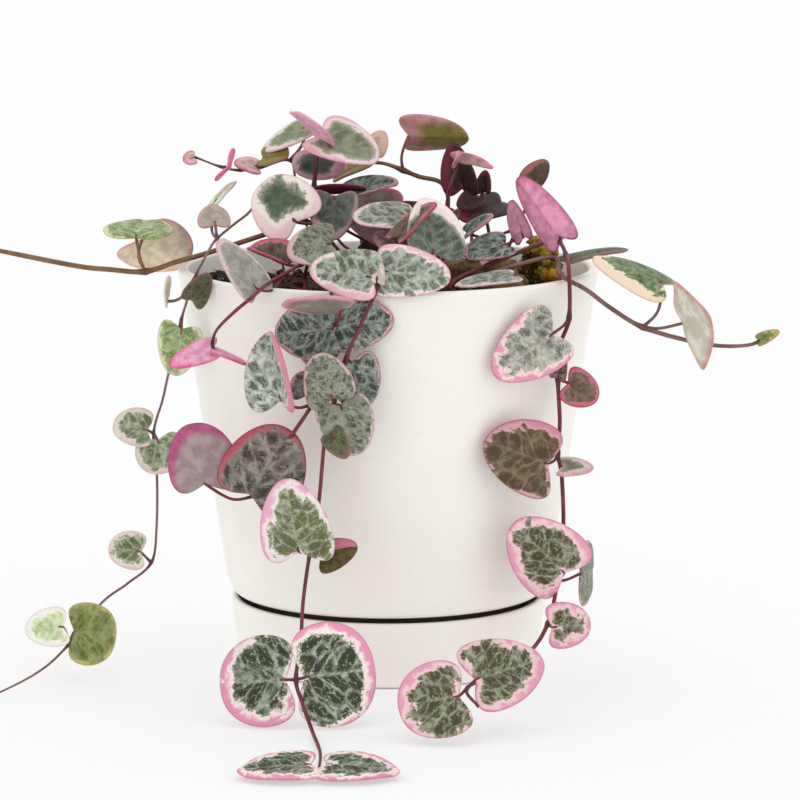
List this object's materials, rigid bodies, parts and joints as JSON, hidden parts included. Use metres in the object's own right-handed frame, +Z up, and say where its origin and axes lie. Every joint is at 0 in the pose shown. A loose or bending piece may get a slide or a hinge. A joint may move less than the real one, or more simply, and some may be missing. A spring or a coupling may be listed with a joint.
{
  "type": "potted string of hearts",
  "caption": "Trailing plant with heart-shaped leaves in silver green, cream and pink on thin stems, growing in a plain tapered cream pot that stands in a deep matching saucer.",
  "frame": {"origin": "on the ground, under the middle of the saucer's flat underside", "axes": "+Z up; -Y towards the front, where the longest stem trails along the surface"},
  "size_m": [0.1947, 0.1906, 0.1347],
  "materials": {
    "glaze": "smooth cream-white satin glaze",
    "soil": "dark loose fibrous potting mix",
    "tuber": "rough brown skin",
    "moss": "yellow-green moss",
    "leaves_front": "dark green leaves netted with silver, wide pink margins, maroon stem",
    "leaves_front_left": "grey-green leaves netted with silver, pink margins and undersides",
    "leaves_left_drop": "green and cream leaves on a thin grey-brown stem",
    "leaves_left_branch": "green and cream leaf and a peach underside on a brown-olive stem",
    "leaves_left_pink": "grey-green leaves with pink and mauve undersides",
    "leaves_right_drop": "dark green leaves netted with silver, pink margins, maroon stem",
    "leaves_right_branch": "green and cream leaves, brown stem with a green tip",
    "leaves_arch": "olive undersides with pink edges, brown stem",
    "leaves_sprout": "small pale pink leaves",
    "leaves_crown_right": "small dark maroon leaves",
    "leaves_crown_far_right": "small dusky pink and grey-green leaves",
    "leaves_centre": "grey-green leaves with cream and pink margins",
    "leaves_middle": "silver-green leaves with pink margins",
    "leaves_top_left": "small pale, olive and pink leaves",
    "leaves_back_left": "dark green leaves netted with silver, pink margins",
    "leaves_back_right": "dark green leaves netted with silver, pink margins"
  },
  "bodies": {
    "root": {"pot": "glaze", "saucer": "glaze", "soil": "soil", "tuber_front": "tuber", "tuber_middle": "tuber", "moss_clump": "moss", "string_front": "leaves_front", "string_front_left": "leaves_front_left", "string_left_drop": "leaves_left_drop", "string_left_branch": "leaves_left_branch", "string_left_pink": "leaves_left_pink", "string_right_drop": "leaves_right_drop", "string_right_branch": "leaves_right_branch", "string_arch": "leaves_arch", "string_sprout": "leaves_sprout", "string_crown_right": "leaves_crown_right", "string_crown_far_right": "leaves_crown_far_right", "string_centre": "leaves_centre", "string_middle": "leaves_middle", "string_top_left": "leaves_top_left", "string_back_left": "leaves_back_left", "string_back_right": "leaves_back_right"}
  },
  "joints": []
}
